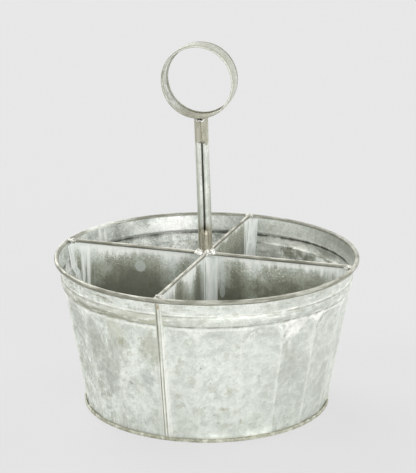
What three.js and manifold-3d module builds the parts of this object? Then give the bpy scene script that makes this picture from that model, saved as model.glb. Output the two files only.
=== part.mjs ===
// Galvanised cutlery caddy: a tapered tin bucket with a wired rim, a raised bead and pressed
// flutes, split into four compartments by crossed sheet dividers. A slit tube soldered where
// the dividers cross carries a ring to lift it by.
// Millimetres, +Z up. The origin is on the table, under the middle of the rim. The long
// divider runs along X, and the bucket's side seam faces -Y.

import * as THREE from "three";
import { mergeVertices } from "three/addons/utils/BufferGeometryUtils.js";
import Module from "manifold-3d";

const wasm = await Module();
wasm.setup();

// Driving sizes of the bucket
const sheet = 0.6; // thickness of the zinc-coated sheet
const wallHeight = 112.6; // table to the top of the rim
const rimRadius = 112.5; // outside of the rolled rim
const footRadius = 90.4; // outside of the wall where it meets the table
const rimRollDiameter = 3.5; // the wired roll along the rim
const rimRollTurn = 300; // degrees that the sheet turns round the wire
const wireGap = 0.3; // between the wire and the roll
const joinGap = 0.3; // between pieces that are seamed or soldered together

// Plain collar under the rim, and the raised bead under it
const collarHeight = 13.5; // top of the rim to the bead
const beadHeight = 7.7;
const beadDepth = 1.1;

// Flutes pressed into the wall under the bead, each with an arched top
const fluteCount = 21;
const fluteDepth = 1.8;
const fluteStart = -92.6; // degrees, where the first ridge stands, just beside the side seam
const archDrop = 1.2; // from the bead down to the tops of the arches
const archRise = 13.2; // from where the arches spring from the ridges to their tops
const fluteRunOut = 3.4; // height over which the flutes fade into the foot seam
const archFullness = 0.75;

// Side seam and foot seam
const sideSeamAngle = -89.6;
const sideSeamWidth = 5;
const sideSeamRise = 0.9;
const wallFlange = 0.35; // how far the wall's foot turns out inside the foot seam
const panRise = 2; // how far the middle of the base is pressed up off the table
const panLandWidth = 7; // flat ring of the base that stands on the table
const panStepWidth = 3;

// Crossed dividers
const crossX = -1; // where the dividers cross
const crossY = 2;
const hemDiameter = 2.6; // rolled top edge of each divider
const hemTurn = 285; // degrees that the sheet turns in a hem
const hemStand = 1.2; // how far the hems stand over the rim
const tabWidth = 8; // end tab of a divider, bent along what it is soldered to
const tabDrop = 4; // from the top of the hems down to the top of the tabs
const dividerFootGap = 0.4;

// Handle
const stemDiameter = 10.2;
const stemLength = 101.8; // hems to the underside of the ring
const stemSlit = 0.9;
const stemLipRadius = 1.3; // each edge of the tube turns in round this radius
const stemSaddle = 2.4; // how far the stem's foot reaches down over the hems
const stemNotchWidth = 3.6; // snipped corners of the slit, at both ends
const stemNotchHeight = 3;
const handleLean = 2.1; // degrees, towards -X
const handleTwist = 6; // degrees, about the stem
const ringRadius = 26.7;
const ringWidth = 18;
const ringHemDiameter = 1.9;
const ringHemTurn = 250;

// Solder
const crossSolderRadius = 7.6;
const crossSolderHeight = 4;
const crossSolderCollar = 0.6;
const ringSolderRadius = 6.2;
const ringSolderHeight = 2.2;
const tackLength = 6; // along the hem
const tackWidth = 8;
const tackHeight = 5.6;
const tackCentreDrop = 1.5; // middle of a tack under the top of the hem

// Facets
const stepsPerFlute = 4;
const archSteps = 4;
const beadSteps = 4;
const rollSteps = 7;
const wireSides = 6;
const ringSteps = 40;
const hemSteps = 6;
const tubeSteps = 18;
const lipSteps = 4;
const solderSteps = 20;
const tackSteps = 14;
const weld = 1e-3;
const overrun = 5; // every cutter reaches this far past what it cuts

const degrees = THREE.MathUtils.degToRad;
const turnedFrom = -90; // degrees, where the first point of a turned outline lies
const wallSteps = fluteCount * stepsPerFlute;
const rollRadius = rimRollDiameter / 2;
const rollCentreRadius = rimRadius - rollRadius;
const rollCentreHeight = wallHeight - rollRadius;
const rimInnerRadius = rimRadius - rimRollDiameter;
const footSeamHeight = 3 * sheet + 2 * joinGap;
const beadFoot = wallHeight - collarHeight - beadHeight;
const archTop = beadFoot - archDrop;
const fluteSpring = archTop - archRise;
const hemRadius = hemDiameter / 2;
const hemTop = wallHeight + hemStand;
const hemCentreHeight = hemTop - hemRadius;
const hemOffset = hemRadius - sheet / 2; // hem's centre beside the middle of its sheet
const floorTop = panRise + sheet;

// Outside of the wall's plain cone at a height.
function wallRadius(height) {
  const share = height / rollCentreHeight;
  return THREE.MathUtils.lerp(footRadius, rimInnerRadius + sheet, share);
}

// How far the bead stands out of the cone at a height.
function beadRise(height) {
  const share = (height - beadFoot) / beadHeight;
  return share > 0 && share < 1 ? beadDepth * Math.sin(Math.PI * share) : 0;
}

// How deep the wall is pressed in at an angle and a height.
function fluteDepthAt(angle, height) {
  const fade = THREE.MathUtils.smoothstep(height, footSeamHeight, footSeamHeight + fluteRunOut);
  const turn = ((angle - degrees(fluteStart)) / (2 * Math.PI)) * fluteCount;
  const across = 2 * (turn - Math.floor(turn)) - 1;
  const up = Math.max(0, (height - fluteSpring) / (archTop - fluteSpring));
  const fullness = Math.max(0, 1 - across * across - up * up);
  const seamTurn = angle - degrees(sideSeamAngle);
  const fromSeam = Math.abs(Math.atan2(Math.sin(seamTurn), Math.cos(seamTurn)));
  const seamHalf = sideSeamWidth / 2 / footRadius;
  const clear = THREE.MathUtils.smoothstep(fromSeam, seamHalf, 2 * seamHalf);
  return fluteDepth * fade * clear * Math.pow(fullness, archFullness);
}

// A closed or axis-to-axis outline of radius and height, turned about Z.
function revolve(outline, steps = wallSteps, start = degrees(fluteStart - turnedFrom)) {
  const points = outline.map(([radius, height]) => new THREE.Vector2(radius, height));
  if (THREE.ShapeUtils.isClockWise(points)) points.reverse();
  const onAxis = points.filter((point) => point.x === 0).length === 2;
  if (!onAxis) points.push(points[0].clone());
  while (onAxis && !(points[0].x === 0 && points.at(-1).x === 0)) points.push(points.shift());
  return new THREE.LatheGeometry(points, steps, start).rotateX(Math.PI / 2);
}

// Points on an arc from one angle to another, in degrees.
function arc(x, y, radius, from, to, steps) {
  return Array.from({ length: steps + 1 }, (_, step) => {
    const angle = degrees(THREE.MathUtils.lerp(from, to, step / steps));
    return [x + radius * Math.cos(angle), y + radius * Math.sin(angle)];
  });
}

function toSolid(geometry) {
  const bare = geometry.clone();
  bare.deleteAttribute("normal");
  bare.deleteAttribute("uv");
  const welded = mergeVertices(bare, weld);
  const vertProperties = new Float32Array(welded.getAttribute("position").array);
  const triVerts = new Uint32Array(welded.getIndex().array);
  return new wasm.Manifold(new wasm.Mesh({ numProp: 3, vertProperties, triVerts }));
}

function toGeometry(solid) {
  const { vertProperties, triVerts } = solid.getMesh();
  const geometry = new THREE.BufferGeometry();
  geometry.setAttribute("position", new THREE.BufferAttribute(vertProperties, 3));
  geometry.setIndex(new THREE.BufferAttribute(triVerts, 1));
  geometry.computeVertexNormals();
  return geometry;
}

// A box between two corners.
function block(low, high) {
  const size = high.map((value, axis) => value - low[axis]);
  const middle = high.map((value, axis) => (value + low[axis]) / 2);
  return toSolid(new THREE.BoxGeometry(...size).translate(...middle));
}

function outlineShape(points) {
  return new THREE.Shape(points.map(([x, y]) => new THREE.Vector2(x, y)));
}

// Wall: one sheet from its turned-out foot, up the flutes and the bead, round the rim wire.
function wallGeometry() {
  const flangeLow = sheet + joinGap;
  const flangeHigh = flangeLow + sheet;
  const heights = [footSeamHeight + joinGap, footSeamHeight + fluteRunOut];
  for (let step = 0; step <= archSteps; step++) {
    heights.push(fluteSpring + (archTop - fluteSpring) * Math.sin((Math.PI / 2) * (step / archSteps)));
  }
  for (let step = 0; step <= beadSteps; step++) {
    heights.push(beadFoot + (beadHeight * step) / beadSteps);
  }
  const face = (height, inset) => [wallRadius(height) + beadRise(height) - inset, height];
  const rollEnd = 180 - rimRollTurn;
  const outline = [
    [wallRadius(flangeLow) - sheet, flangeLow],
    [wallRadius(flangeLow) + wallFlange, flangeLow],
    [wallRadius(flangeLow) + wallFlange, flangeHigh],
    [wallRadius(flangeHigh), flangeHigh],
    ...heights.map((height) => face(height, 0)),
    ...arc(rollCentreRadius, rollCentreHeight, rollRadius - sheet, 180, rollEnd, rollSteps),
    ...arc(rollCentreRadius, rollCentreHeight, rollRadius, rollEnd, 180, rollSteps),
    ...heights.reverse().map((height) => face(height, sheet)),
  ];
  const geometry = revolve(outline);
  const position = geometry.getAttribute("position");
  for (let index = 0; index < position.count; index++) {
    const x = position.getX(index);
    const y = position.getY(index);
    const radius = Math.hypot(x, y);
    const share = 1 - fluteDepthAt(Math.atan2(y, x), position.getZ(index)) / radius;
    position.setXY(index, x * share, y * share);
  }
  return toGeometry(toSolid(geometry).add(sideSeam()));
}

// Side seam: the sheet's two edges folded together and flattened, from foot seam to rim.
function sideSeam() {
  const top = rollCentreHeight - rollRadius - joinGap;
  const heights = [footSeamHeight + joinGap];
  for (let step = 0; step <= beadSteps; step++) {
    heights.push(beadFoot + (beadHeight * step) / beadSteps);
  }
  heights.push(top);
  const side = (out) => heights.map((height) => [wallRadius(height) + beadRise(height) + out, height]);
  const strip = new THREE.ExtrudeGeometry(
    outlineShape([...side(sideSeamRise), ...side(-sheet / 2).reverse()]),
    { depth: sideSeamWidth, bevelEnabled: false },
  );
  strip.translate(0, 0, -sideSeamWidth / 2);
  strip.rotateX(Math.PI / 2);
  strip.rotateZ(degrees(sideSeamAngle));
  return toSolid(strip);
}

// Rim wire: a steel hoop inside the rolled edge.
function rimWireGeometry() {
  const wireRadius = rollRadius - sheet - wireGap;
  const hoop = new THREE.TorusGeometry(rollCentreRadius, wireRadius, wireSides, wallSteps);
  return hoop.rotateZ(degrees(fluteStart)).translate(0, 0, rollCentreHeight);
}

// Base pan: a pressed disc whose edge is hooked up and over the foot of the wall.
function basePanGeometry() {
  const flangeReach = wallRadius(sheet + joinGap) + wallFlange;
  const hookInner = flangeReach + joinGap;
  const outer = hookInner + sheet;
  const hookLip = wallRadius(footSeamHeight) + joinGap;
  const landInner = outer - panLandWidth;
  const panelEdge = landInner - panStepWidth;
  return revolve([
    [0, panRise],
    [panelEdge, panRise],
    [landInner, 0],
    [outer, 0],
    [outer, footSeamHeight],
    [hookLip, footSeamHeight],
    [hookLip, footSeamHeight - sheet],
    [hookInner, footSeamHeight - sheet],
    [hookInner, sheet],
    [landInner, sheet],
    [panelEdge, floorTop],
    [0, floorTop],
  ]);
}

// Radius that a divider's end tab fills to, clear of the flutes and of the rim.
function seatRadius(height) {
  const flutes = height > archTop ? 0 : fluteDepth;
  return Math.min(wallRadius(height) - sheet - flutes, rimInnerRadius) - joinGap;
}

const dividerFoot = floorTop + dividerFootGap;
const tabTop = hemTop - tabDrop;

// Inside of the bucket as one solid, drawn in from the seat by an inset.
function bowl(inset) {
  const heights = [dividerFoot - overrun, archTop, beadFoot, rollCentreHeight, hemTop + overrun];
  const side = heights.map((height) => [seatRadius(height) - inset, height]);
  return toSolid(revolve([[0, heights[0]], ...side, [0, heights.at(-1)]]));
}

// Curved strip that every end tab along the wall is cut from.
function tabShell() {
  const heights = [dividerFoot, archTop, beadFoot, tabTop];
  const side = (inset) => heights.map((height) => [seatRadius(height) - inset, height]);
  return toSolid(revolve([...side(0), ...side(sheet).reverse()]));
}

// Section of a divider: a flat sheet whose top is rolled over to the side of -x.
function dividerShape() {
  return outlineShape([
    [-sheet / 2, dividerFoot],
    [sheet / 2, dividerFoot],
    ...arc(-hemOffset, hemCentreHeight, hemRadius, 0, hemTurn, hemSteps),
    ...arc(-hemOffset, hemCentreHeight, hemRadius - sheet, hemTurn, 0, hemSteps),
  ]);
}

const alongX = new THREE.Matrix4().makeBasis(
  new THREE.Vector3(0, 1, 0),
  new THREE.Vector3(0, 0, 1),
  new THREE.Vector3(1, 0, 0),
);
const alongY = new THREE.Matrix4().makeBasis(
  new THREE.Vector3(-1, 0, 0),
  new THREE.Vector3(0, 0, 1),
  new THREE.Vector3(0, 1, 0),
);

function dividerStrip(from, to, frame, x, y) {
  const strip = new THREE.ExtrudeGeometry(dividerShape(), { depth: to - from, bevelEnabled: false });
  strip.translate(0, 0, from).applyMatrix4(frame).translate(x, y, 0);
  return toSolid(strip).intersect(bowl(sheet / 2));
}

// Long divider: one panel across the bucket, hem rolled to the front, a tab at each end.
function longDividerGeometry() {
  const reach = rimRadius;
  const front = crossY - tabWidth;
  const back = crossY + sheet / 2;
  const tabs = tabShell();
  const left = tabs.intersect(block([-reach, front, 0], [0, back, reach]));
  const right = tabs.intersect(block([0, front, 0], [reach, back, reach]));
  return toGeometry(dividerStrip(-reach, reach, alongX, 0, crossY).add(left).add(right));
}

// Short divider: a half panel from the long divider to the wall, hem and tabs towards +X.
// side is -1 for the front one and 1 for the back one.
function shortDividerGeometry(side) {
  const reach = rimRadius;
  const near = sheet / 2 + joinGap; // first face clear of the long divider
  const from = side < 0 ? -reach : crossY + near;
  const to = side < 0 ? crossY - near : reach;
  const left = crossX - sheet / 2;
  const right = crossX + tabWidth;
  const wallTab = tabShell().intersect(
    block([left, side < 0 ? -reach : crossY, 0], [right, side < 0 ? crossY : reach, reach]),
  );
  const centreFaces = [crossY + side * near, crossY + side * (near + sheet)].sort((a, b) => a - b);
  const centreTab = block([left, centreFaces[0], dividerFoot], [right, centreFaces[1], tabTop]);
  const panel = dividerStrip(from, to, alongY, crossX, 0).add(wallTab).add(centreTab);
  if (side > 0) return toGeometry(panel);
  // The front panel is notched where the long divider's hem rolls over it.
  const hemFront = crossY - hemOffset - hemRadius - joinGap;
  const hemFoot = hemCentreHeight - hemRadius - joinGap;
  const notch = block([crossX - overrun, hemFront, hemFoot], [crossX + overrun, crossY, hemTop + overrun]);
  return toGeometry(panel.subtract(notch));
}

// Handle: stem and ring stand in one frame on the hems, which leans and turns a little.
const handle = new THREE.Group();
handle.position.set(crossX, crossY - hemOffset, hemTop);
handle.rotation.set(0, degrees(-handleLean), degrees(handleTwist), "YXZ");
handle.updateMatrixWorld(true);
const intoHandle = handle.matrixWorld.clone().invert();
const stemRadius = stemDiameter / 2;
const ringCentreHeight = stemLength + ringRadius;

// What the stem's foot and the solder round it have to clear: the hems of both dividers.
function hemBlocks() {
  const room = joinGap;
  const far = ringRadius;
  const low = -stemSaddle - overrun;
  const rolled = hemOffset + hemRadius + room;
  const plain = sheet / 2 + room;
  const across = block([-far, -rolled, low], [far, plain, room]);
  const along = block([-plain, -far, low], [rolled, far, room]);
  const place = new THREE.Matrix4().makeTranslation(crossX, crossY, hemTop).premultiply(intoHandle);
  return across.add(along).transform(place.elements);
}

// Barrel as wide as the ring's outside, lying in the ring's place.
function ringBarrel(gap) {
  const barrel = new THREE.CylinderGeometry(ringRadius + gap, ringRadius + gap, 2 * ringWidth, ringSteps);
  return toSolid(barrel.translate(0, 0, ringCentreHeight));
}

// Snip in the slit's corners: a wedge that opens towards one end of the stem.
function slitNotch(endHeight, direction) {
  const half = stemNotchWidth / 2;
  const tip = endHeight + direction * stemNotchHeight;
  const base = endHeight - direction * overrun;
  const spread = half * (1 + overrun / stemNotchHeight);
  const wedge = new THREE.ExtrudeGeometry(
    outlineShape([[-spread, base], [spread, base], [0, tip]]),
    { depth: stemDiameter, bevelEnabled: false },
  );
  return toSolid(wedge.rotateX(Math.PI / 2));
}

// Stem: a strip rolled into a tube, its two edges turned in along a slit that faces -Y.
function stemGeometry() {
  const lipCentre = stemRadius - stemLipRadius;
  const lipX = stemSlit / 2 + stemLipRadius;
  const lipY = -Math.sqrt(lipCentre * lipCentre - lipX * lipX);
  const lipTurn = THREE.MathUtils.radToDeg(Math.atan2(lipY, lipX));
  const halfLip = (inset, x, from, to) => arc(x, lipY, stemLipRadius - inset, from, to, lipSteps);
  const section = outlineShape([
    ...halfLip(0, lipX, -180, lipTurn),
    ...arc(0, 0, stemRadius, lipTurn, 180 - lipTurn, tubeSteps).slice(1),
    ...halfLip(0, -lipX, 180 - lipTurn, 360).slice(1),
    ...halfLip(sheet, -lipX, 360, 180 - lipTurn),
    ...arc(0, 0, stemRadius - sheet, 180 - lipTurn, lipTurn, tubeSteps).slice(1),
    ...halfLip(sheet, lipX, lipTurn, -180).slice(1),
  ]);
  const depth = stemSaddle + stemLength + overrun;
  const tube = new THREE.ExtrudeGeometry(section, { depth, bevelEnabled: false });
  const solid = toSolid(tube.translate(0, 0, -stemSaddle))
    .subtract(ringBarrel(joinGap))
    .subtract(hemBlocks())
    .subtract(slitNotch(stemLength, -1))
    .subtract(slitNotch(0, 1));
  return toGeometry(solid);
}

// Ring: a band bent into a hoop about Y, with both edges hemmed to the inside.
function ringGeometry() {
  const hem = ringHemDiameter / 2;
  const centre = ringRadius - hem;
  const edge = ringWidth / 2 - hem;
  const inner = hem - sheet;
  const flip = (points) => points.map(([radius, height]) => [radius, -height]).reverse();
  const edgeHem = [
    ...arc(centre, edge, hem, 0, ringHemTurn, hemSteps),
    ...arc(centre, edge, Math.max(inner, joinGap), ringHemTurn, 0, lipSteps),
  ];
  const outline = [...edgeHem, ...flip(edgeHem)];
  const points = outline.map(([radius, height]) => new THREE.Vector2(radius, height));
  points.push(points[0].clone());
  return new THREE.LatheGeometry(points, ringSteps).translate(0, 0, ringCentreHeight);
}

// Solder where the stem stands on the crossing: a flared collar that saddles the hems.
function crossSolderGeometry() {
  const inner = stemRadius + joinGap;
  const collar = inner + crossSolderCollar;
  const mound = revolve(
    [
      [inner, crossSolderHeight],
      [collar, crossSolderHeight],
      [(collar + crossSolderRadius) / 2, crossSolderHeight / 3],
      [crossSolderRadius, 0],
      [crossSolderRadius, -stemSaddle / 2],
      [inner, -stemSaddle / 2],
    ],
    solderSteps,
    0,
  );
  return toGeometry(toSolid(mound).subtract(hemBlocks()));
}

// Solder where the ring stands on the stem: a collar cut to the ring's curve.
function ringSolderGeometry() {
  const inner = stemRadius + joinGap;
  const low = stemLength - ringSolderHeight;
  const collar = revolve(
    [
      [inner, low],
      [ringSolderRadius, stemLength - ringSolderHeight / 2],
      [ringSolderRadius + joinGap, stemLength + overrun],
      [inner, stemLength + overrun],
    ],
    solderSteps,
    0,
  );
  return toGeometry(toSolid(collar).subtract(ringBarrel(joinGap)));
}

// Solder tack over the end of a hem, against the rim. The way is the hem's outward direction.
function tackGeometry(wayX, wayY) {
  const lump = new THREE.SphereGeometry(1, tackSteps, tackSteps / 2).rotateX(Math.PI / 2);
  const half = [tackLength, tackWidth].map((size) => size / 2);
  lump.scale(...(wayX ? half : half.reverse()), tackHeight / 2);
  const offAxis = wayX ? crossY - hemOffset : crossX + hemOffset;
  const end = Math.sqrt((rimInnerRadius - joinGap) ** 2 - offAxis ** 2) - tackLength / 2;
  const x = wayX ? wayX * end : offAxis;
  const y = wayX ? offAxis : wayY * end;
  const solid = toSolid(lump.translate(x, y, hemTop - tackCentreDrop)).intersect(bowl(0));
  const rolled = hemOffset + hemRadius + joinGap;
  const plain = sheet / 2 + joinGap;
  const top = hemTop + joinGap;
  const hem = wayX
    ? block([x - tackLength, crossY - rolled, 0], [x + tackLength, crossY + plain, top])
    : block([crossX - plain, y - tackLength, 0], [crossX + rolled, y + tackLength, top]);
  return toGeometry(solid.subtract(hem));
}

function metal(color, roughness, metalness) {
  return new THREE.MeshStandardMaterial({ color, roughness, metalness });
}

const wallZinc = metal(0xc9cfc9, 0.55, 0.6);
const panelZinc = metal(0xa2a79f, 0.6, 0.6);
const handleZinc = metal(0xb4b4a4, 0.55, 0.6);
const wireSteel = metal(0x8d8d86, 0.45, 0.8);
const brightSolder = metal(0xdfe0dc, 0.45, 0.7);

function piece(name, geometry, material) {
  const mesh = new THREE.Mesh(geometry, material);
  mesh.name = name;
  return mesh;
}

handle.add(
  piece("handle_stem", stemGeometry(), handleZinc),
  piece("handle_ring", ringGeometry(), handleZinc),
  piece("cross_solder", crossSolderGeometry(), brightSolder),
  piece("ring_solder", ringSolderGeometry(), brightSolder),
);

const dividers = new THREE.Group();
dividers.add(
  piece("long_divider", longDividerGeometry(), panelZinc),
  piece("front_divider", shortDividerGeometry(-1), panelZinc),
  piece("back_divider", shortDividerGeometry(1), panelZinc),
);
const ends = { left: [-1, 0], right: [1, 0], front: [0, -1], back: [0, 1] };
for (const [side, way] of Object.entries(ends)) {
  dividers.add(piece(`${side}_end_solder`, tackGeometry(...way), brightSolder));
}

const bucket = new THREE.Group();
bucket.add(
  piece("bucket_wall", wallGeometry(), wallZinc),
  piece("rim_wire", rimWireGeometry(), wireSteel),
  piece("base_pan", basePanGeometry(), wallZinc),
);

const caddy = new THREE.Group();
caddy.add(bucket, dividers, handle);

export default caddy;
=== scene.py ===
"""A cutlery caddy of galvanised sheet: a fluted round bucket, crossed dividers and a ring handle.

Metres, +Z up, on the table at z = 0. The long divider runs along X and the side seam faces -Y.
"""

import math

import bmesh
import bpy
from mathutils import Matrix, Vector, noise


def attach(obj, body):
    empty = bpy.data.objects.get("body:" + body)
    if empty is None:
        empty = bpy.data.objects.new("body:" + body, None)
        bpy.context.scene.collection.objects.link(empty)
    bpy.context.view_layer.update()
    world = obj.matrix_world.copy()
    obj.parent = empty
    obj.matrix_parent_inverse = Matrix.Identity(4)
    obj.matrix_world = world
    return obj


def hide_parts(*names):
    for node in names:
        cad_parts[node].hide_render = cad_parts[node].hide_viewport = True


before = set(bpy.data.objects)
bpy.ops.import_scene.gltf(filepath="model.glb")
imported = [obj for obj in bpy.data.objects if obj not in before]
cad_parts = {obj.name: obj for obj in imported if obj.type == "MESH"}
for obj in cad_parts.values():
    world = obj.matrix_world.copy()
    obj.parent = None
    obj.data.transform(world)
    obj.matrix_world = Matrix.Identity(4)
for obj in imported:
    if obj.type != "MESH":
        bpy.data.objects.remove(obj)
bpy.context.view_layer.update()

# Bucket wall. One sheet of zinc-coated steel, bent round and seamed, rolled over a wire along
# the rim. A bead is pressed out of it under a plain collar, and below the bead it is pressed in
# to a row of arched flutes. Its foot turns out into the seam with the base.
SHEET = 0.0006
RIM_RADIUS = 0.1125
RIM_TOP = 0.1126
ROLL_RADIUS = 0.00175
ROLL_TURN = math.radians(300)
ROLL_CENTRE = (RIM_RADIUS - ROLL_RADIUS, RIM_TOP - ROLL_RADIUS)
UNDER_RIM = RIM_RADIUS - 2 * ROLL_RADIUS
WALL_FOOT = 0.0009
FOOT_RADIUS = 0.0904
BEAD_FOOT = 0.0914
BEAD_HEIGHT = 0.0077
BEAD_TOP = BEAD_FOOT + BEAD_HEIGHT
BEAD_DEPTH = 0.0009
FLUTES = 21
FLUTE_DEPTH = 0.0023
FIRST_RIDGE = math.radians(-92.6)
ARCH_TOP = 0.0902
ARCH_RISE = 0.0132
ARCH_FOOT = ARCH_TOP - ARCH_RISE
SEAM_ANGLE = math.radians(-89.6)
SEAM_WIDTH = 0.005
WALL_STEPS = FLUTES * 24


def smooth(value, zero, one):
    """A smooth change from 0 at one value to 1 at another, which may be the lower one."""
    share = min(1.0, max(0.0, (value - zero) / (one - zero)))
    return share * share * (3 - 2 * share)


def bell(distance, width):
    """1 along a line, falling off beside it as a bell does."""
    return math.exp(-((distance / width) ** 2))


def wall_radius(height):
    """Outside of the wall's plain cone."""
    slope = (UNDER_RIM + SHEET - FOOT_RADIUS) / ROLL_CENTRE[1]
    return FOOT_RADIUS + slope * height


def bead_rise(height):
    """How far the bead stands out of the cone."""
    share = (height - BEAD_FOOT) / BEAD_HEIGHT
    return BEAD_DEPTH * math.sin(math.pi * share) ** 0.45 if 0 < share < 1 else 0.0


def flute_press(angle, height):
    """How far the wall is pressed in, how near the place is to a ridge or an arch's edge,
    whether it is just under an arch (1) or in the plain corner between two arches (-1), and
    how far it lies in the band inside an arch's left flank, which rubs against things."""
    turn = (angle - FIRST_RIDGE) / math.tau * FLUTES % FLUTES
    number = int(turn)
    wobble = noise.noise(Vector((number * 7.3, 0.5, 0.5)))
    top = ARCH_TOP + 0.0012 * wobble
    across = 2 * (turn - number) - 1
    up = max(0.0, (height - (top - ARCH_RISE)) / ARCH_RISE)
    reach = math.hypot(across, up)
    beside_seam = abs(math.remainder(angle - SEAM_ANGLE, math.tau)) * FOOT_RADIUS
    clear = smooth(beside_seam, 0.5 * SEAM_WIDTH, SEAM_WIDTH)
    depth = FLUTE_DEPTH * (1 + 0.2 * wobble) * max(0.0, 1 - reach**2) ** 0.75
    press = depth * clear * smooth(height, 0.0022, 0.0055)
    edge = bell(reach - 1, 0.07) * smooth(top + 0.002 - height, 0, 0.002)
    flank = smooth(-across, -0.3, 0.6)
    below = bell(reach - 0.87, 0.085) * smooth(up, 0.0, 0.2)
    below = max(below, 0.4 * smooth(up, 0.0, 0.5) * smooth(reach, 0.95, 0.7))
    # The mark just under an arch is weighted to the flute's left flank, where it is painted as shade.
    below *= 0.2 + 0.8 * flank
    plain = smooth(reach, 1.02, 1.16) * smooth(up, 0.0, 0.2) * smooth(height, 0.0925, 0.0905)
    rubbed = bell(reach - 0.66, 0.16) * smooth(up, 0.0, 0.4) * flank
    return press, edge * clear, below - plain, rubbed * clear


def dent(place, size, depth):
    """A shallow unevenness of hand-worked sheet, the size of one dent across."""
    return depth * noise.noise(place / size)


def span(low, high, steps):
    """Evenly spaced values from low to high, with both ends."""
    return [low + (high - low) * step / steps for step in range(steps + 1)]


def arc(centre, radius, start, end, steps):
    """Points along part of a circle, from one angle to the other."""
    return [
        (centre[0] + radius * math.cos(angle), centre[1] + radius * math.sin(angle))
        for angle in span(start, end, steps)
    ]


def sweep(points, steps, axis=(0, 0, 1), **way):
    """A sheet, as a bmesh: a line through the points, carried along or round in steps."""
    sheet = bmesh.new()
    corners = [sheet.verts.new(point) for point in points]
    lines = [sheet.edges.new(pair) for pair in zip(corners, corners[1:])]
    bmesh.ops.spin(sheet, geom=corners + lines, axis=axis, steps=steps, **way)
    bmesh.ops.remove_doubles(sheet, verts=sheet.verts, dist=1e-6)
    return sheet


def lathe(path, steps, first_angle=0.0):
    """A sheet made by a path of radius and height that goes once round Z."""
    start = Matrix.Rotation(first_angle, 3, "Z")
    points = [start @ Vector((radius, 0, height)) for radius, height in path]
    return sweep(points, steps, angle=math.tau, use_merge=True)


wall_heights = [
    *span(WALL_FOOT, ARCH_FOOT - 0.0014, 20),
    *span(ARCH_FOOT - 0.0003, ARCH_TOP + 0.0006, 15),
    *span(BEAD_FOOT, BEAD_TOP, 14),
    *span(BEAD_TOP + 0.0008, ROLL_CENTRE[1] - 0.0006, 5),
]
wall_path = [(wall_radius(height) + bead_rise(height) - SHEET, height) for height in wall_heights]
roll_path = arc(ROLL_CENTRE, ROLL_RADIUS, math.pi, math.pi - ROLL_TURN, 20)
wall = lathe(wall_path + roll_path, WALL_STEPS, FIRST_RIDGE)
for vertex in wall.verts:
    angle = math.atan2(vertex.co.y, vertex.co.x)
    out = Vector((math.cos(angle), math.sin(angle), 0))
    rim_share = smooth(vertex.co.z, 0.1, 0.11)
    uneven = dent(vertex.co, 0.035, 0.0006) * (1 - 0.6 * rim_share) * smooth(vertex.co.z, 0, 0.01)
    vertex.co += out * (uneven - flute_press(angle, vertex.co.z)[0])
    vertex.co.z += dent(vertex.co, 0.05, 0.0003) * rim_share
bmesh.ops.solidify(wall, geom=wall.faces[:], thickness=SHEET)
WALL_MARKS = ("edge", "inside", "corner", "rubbed")
wall_marks = [wall.verts.layers.float.new(mark) for mark in WALL_MARKS]
wall.normal_update()
for vertex in wall.verts:
    angle = math.atan2(vertex.co.y, vertex.co.x)
    outward = vertex.normal.dot(Vector((math.cos(angle), math.sin(angle), 0)))
    edge, corner, rubbed = flute_press(angle, vertex.co.z)[1:]
    for mark, value in zip(wall_marks, (edge, float(outward < 0), corner, rubbed)):
        vertex[mark] = value


def tint(colour):
    """A colour as it looks on screen, from 0 to 255, as the shader takes it."""
    return (*((part / 255) ** 2.2 for part in colour), 1.0)


class Channel:
    """A shader value that is added and multiplied as a number is."""

    def __init__(self, socket):
        self.socket = socket

    def node(self, kind, inputs, output=0, stops=None, **settings):
        """What a new node gives, with its settings, a ramp's stops, and its inputs."""
        made = self.socket.id_data.nodes.new("ShaderNode" + kind)
        for setting, value in settings.items():
            setattr(made, setting, value)
        if stops:
            ramp = made.color_ramp.elements
            while len(ramp) < len(stops):
                ramp.new(1.0)
            for element, (position, colour) in zip(ramp, stops):
                element.position = position
                element.color = tint(colour)
        for key, value in inputs.items():
            self.feed(made.inputs[key], value)
        return Channel(made.outputs[output])

    def feed(self, socket, value):
        """Links a channel to a socket, or sets the socket to a plain value."""
        if isinstance(value, Channel):
            self.socket.id_data.links.new(value.socket, socket)
        else:
            socket.default_value = value

    def maths(self, operation, first, second):
        """What a Math node gives."""
        return self.node("Math", {0: first, 1: second}, operation=operation)

    def __add__(self, other):
        return self.maths("ADD", self, other)

    def __sub__(self, other):
        return self.maths("SUBTRACT", self, other)

    def __rsub__(self, other):
        return self.maths("SUBTRACT", other, self)

    def __mul__(self, other):
        return self.maths("MULTIPLY", self, other)

    __radd__ = __add__
    __rmul__ = __mul__

    def axis(self, letter):
        """One coordinate of a place."""
        return self.node("SeparateXYZ", {"Vector": self}, output=letter)

    def marked(self, mark):
        """How much of a mark the mesh carries at a place."""
        return self.node("Attribute", {}, output="Fac", attribute_name=mark)

    def between(self, zero, one):
        """A smooth change from 0 at one value to 1 at another, which may be the lower one."""
        limits = {"Value": self, "From Min": zero, "From Max": one}
        return self.node("MapRange", limits, interpolation_type="SMOOTHSTEP")

    def within(self, start, full, last, end):
        """A smooth rise from start to full, and a smooth fall from last to end."""
        return self.between(start, full) * self.between(end, last)

    def near(self, middle, half):
        """1 in the middle of a stripe, and 0 from half its width away."""
        return self.within(middle - half, middle, middle, middle + half)

    def ramp(self, *stops):
        """Colours along this tone, each stop a position and a colour."""
        return self.node("ValToRGB", {"Fac": self}, stops=stops)

    def paint(self, *coats):
        """This colour with others over it in turn, each a colour and the share that it covers."""
        colour = self
        for over, share in coats:
            over = over if isinstance(over, Channel) else tint(over)
            colour = self.node("Mix", {0: share, 6: colour, 7: over}, output=2, data_type="RGBA")
        return colour


def start_finish(name):
    """A new material, and where each point of the surface lies on the caddy."""
    finish = bpy.data.materials.new(name)
    finish.use_nodes = True
    coordinates = finish.node_tree.nodes.new("ShaderNodeTexCoord")
    return finish, Channel(coordinates.outputs["Object"])


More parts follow.
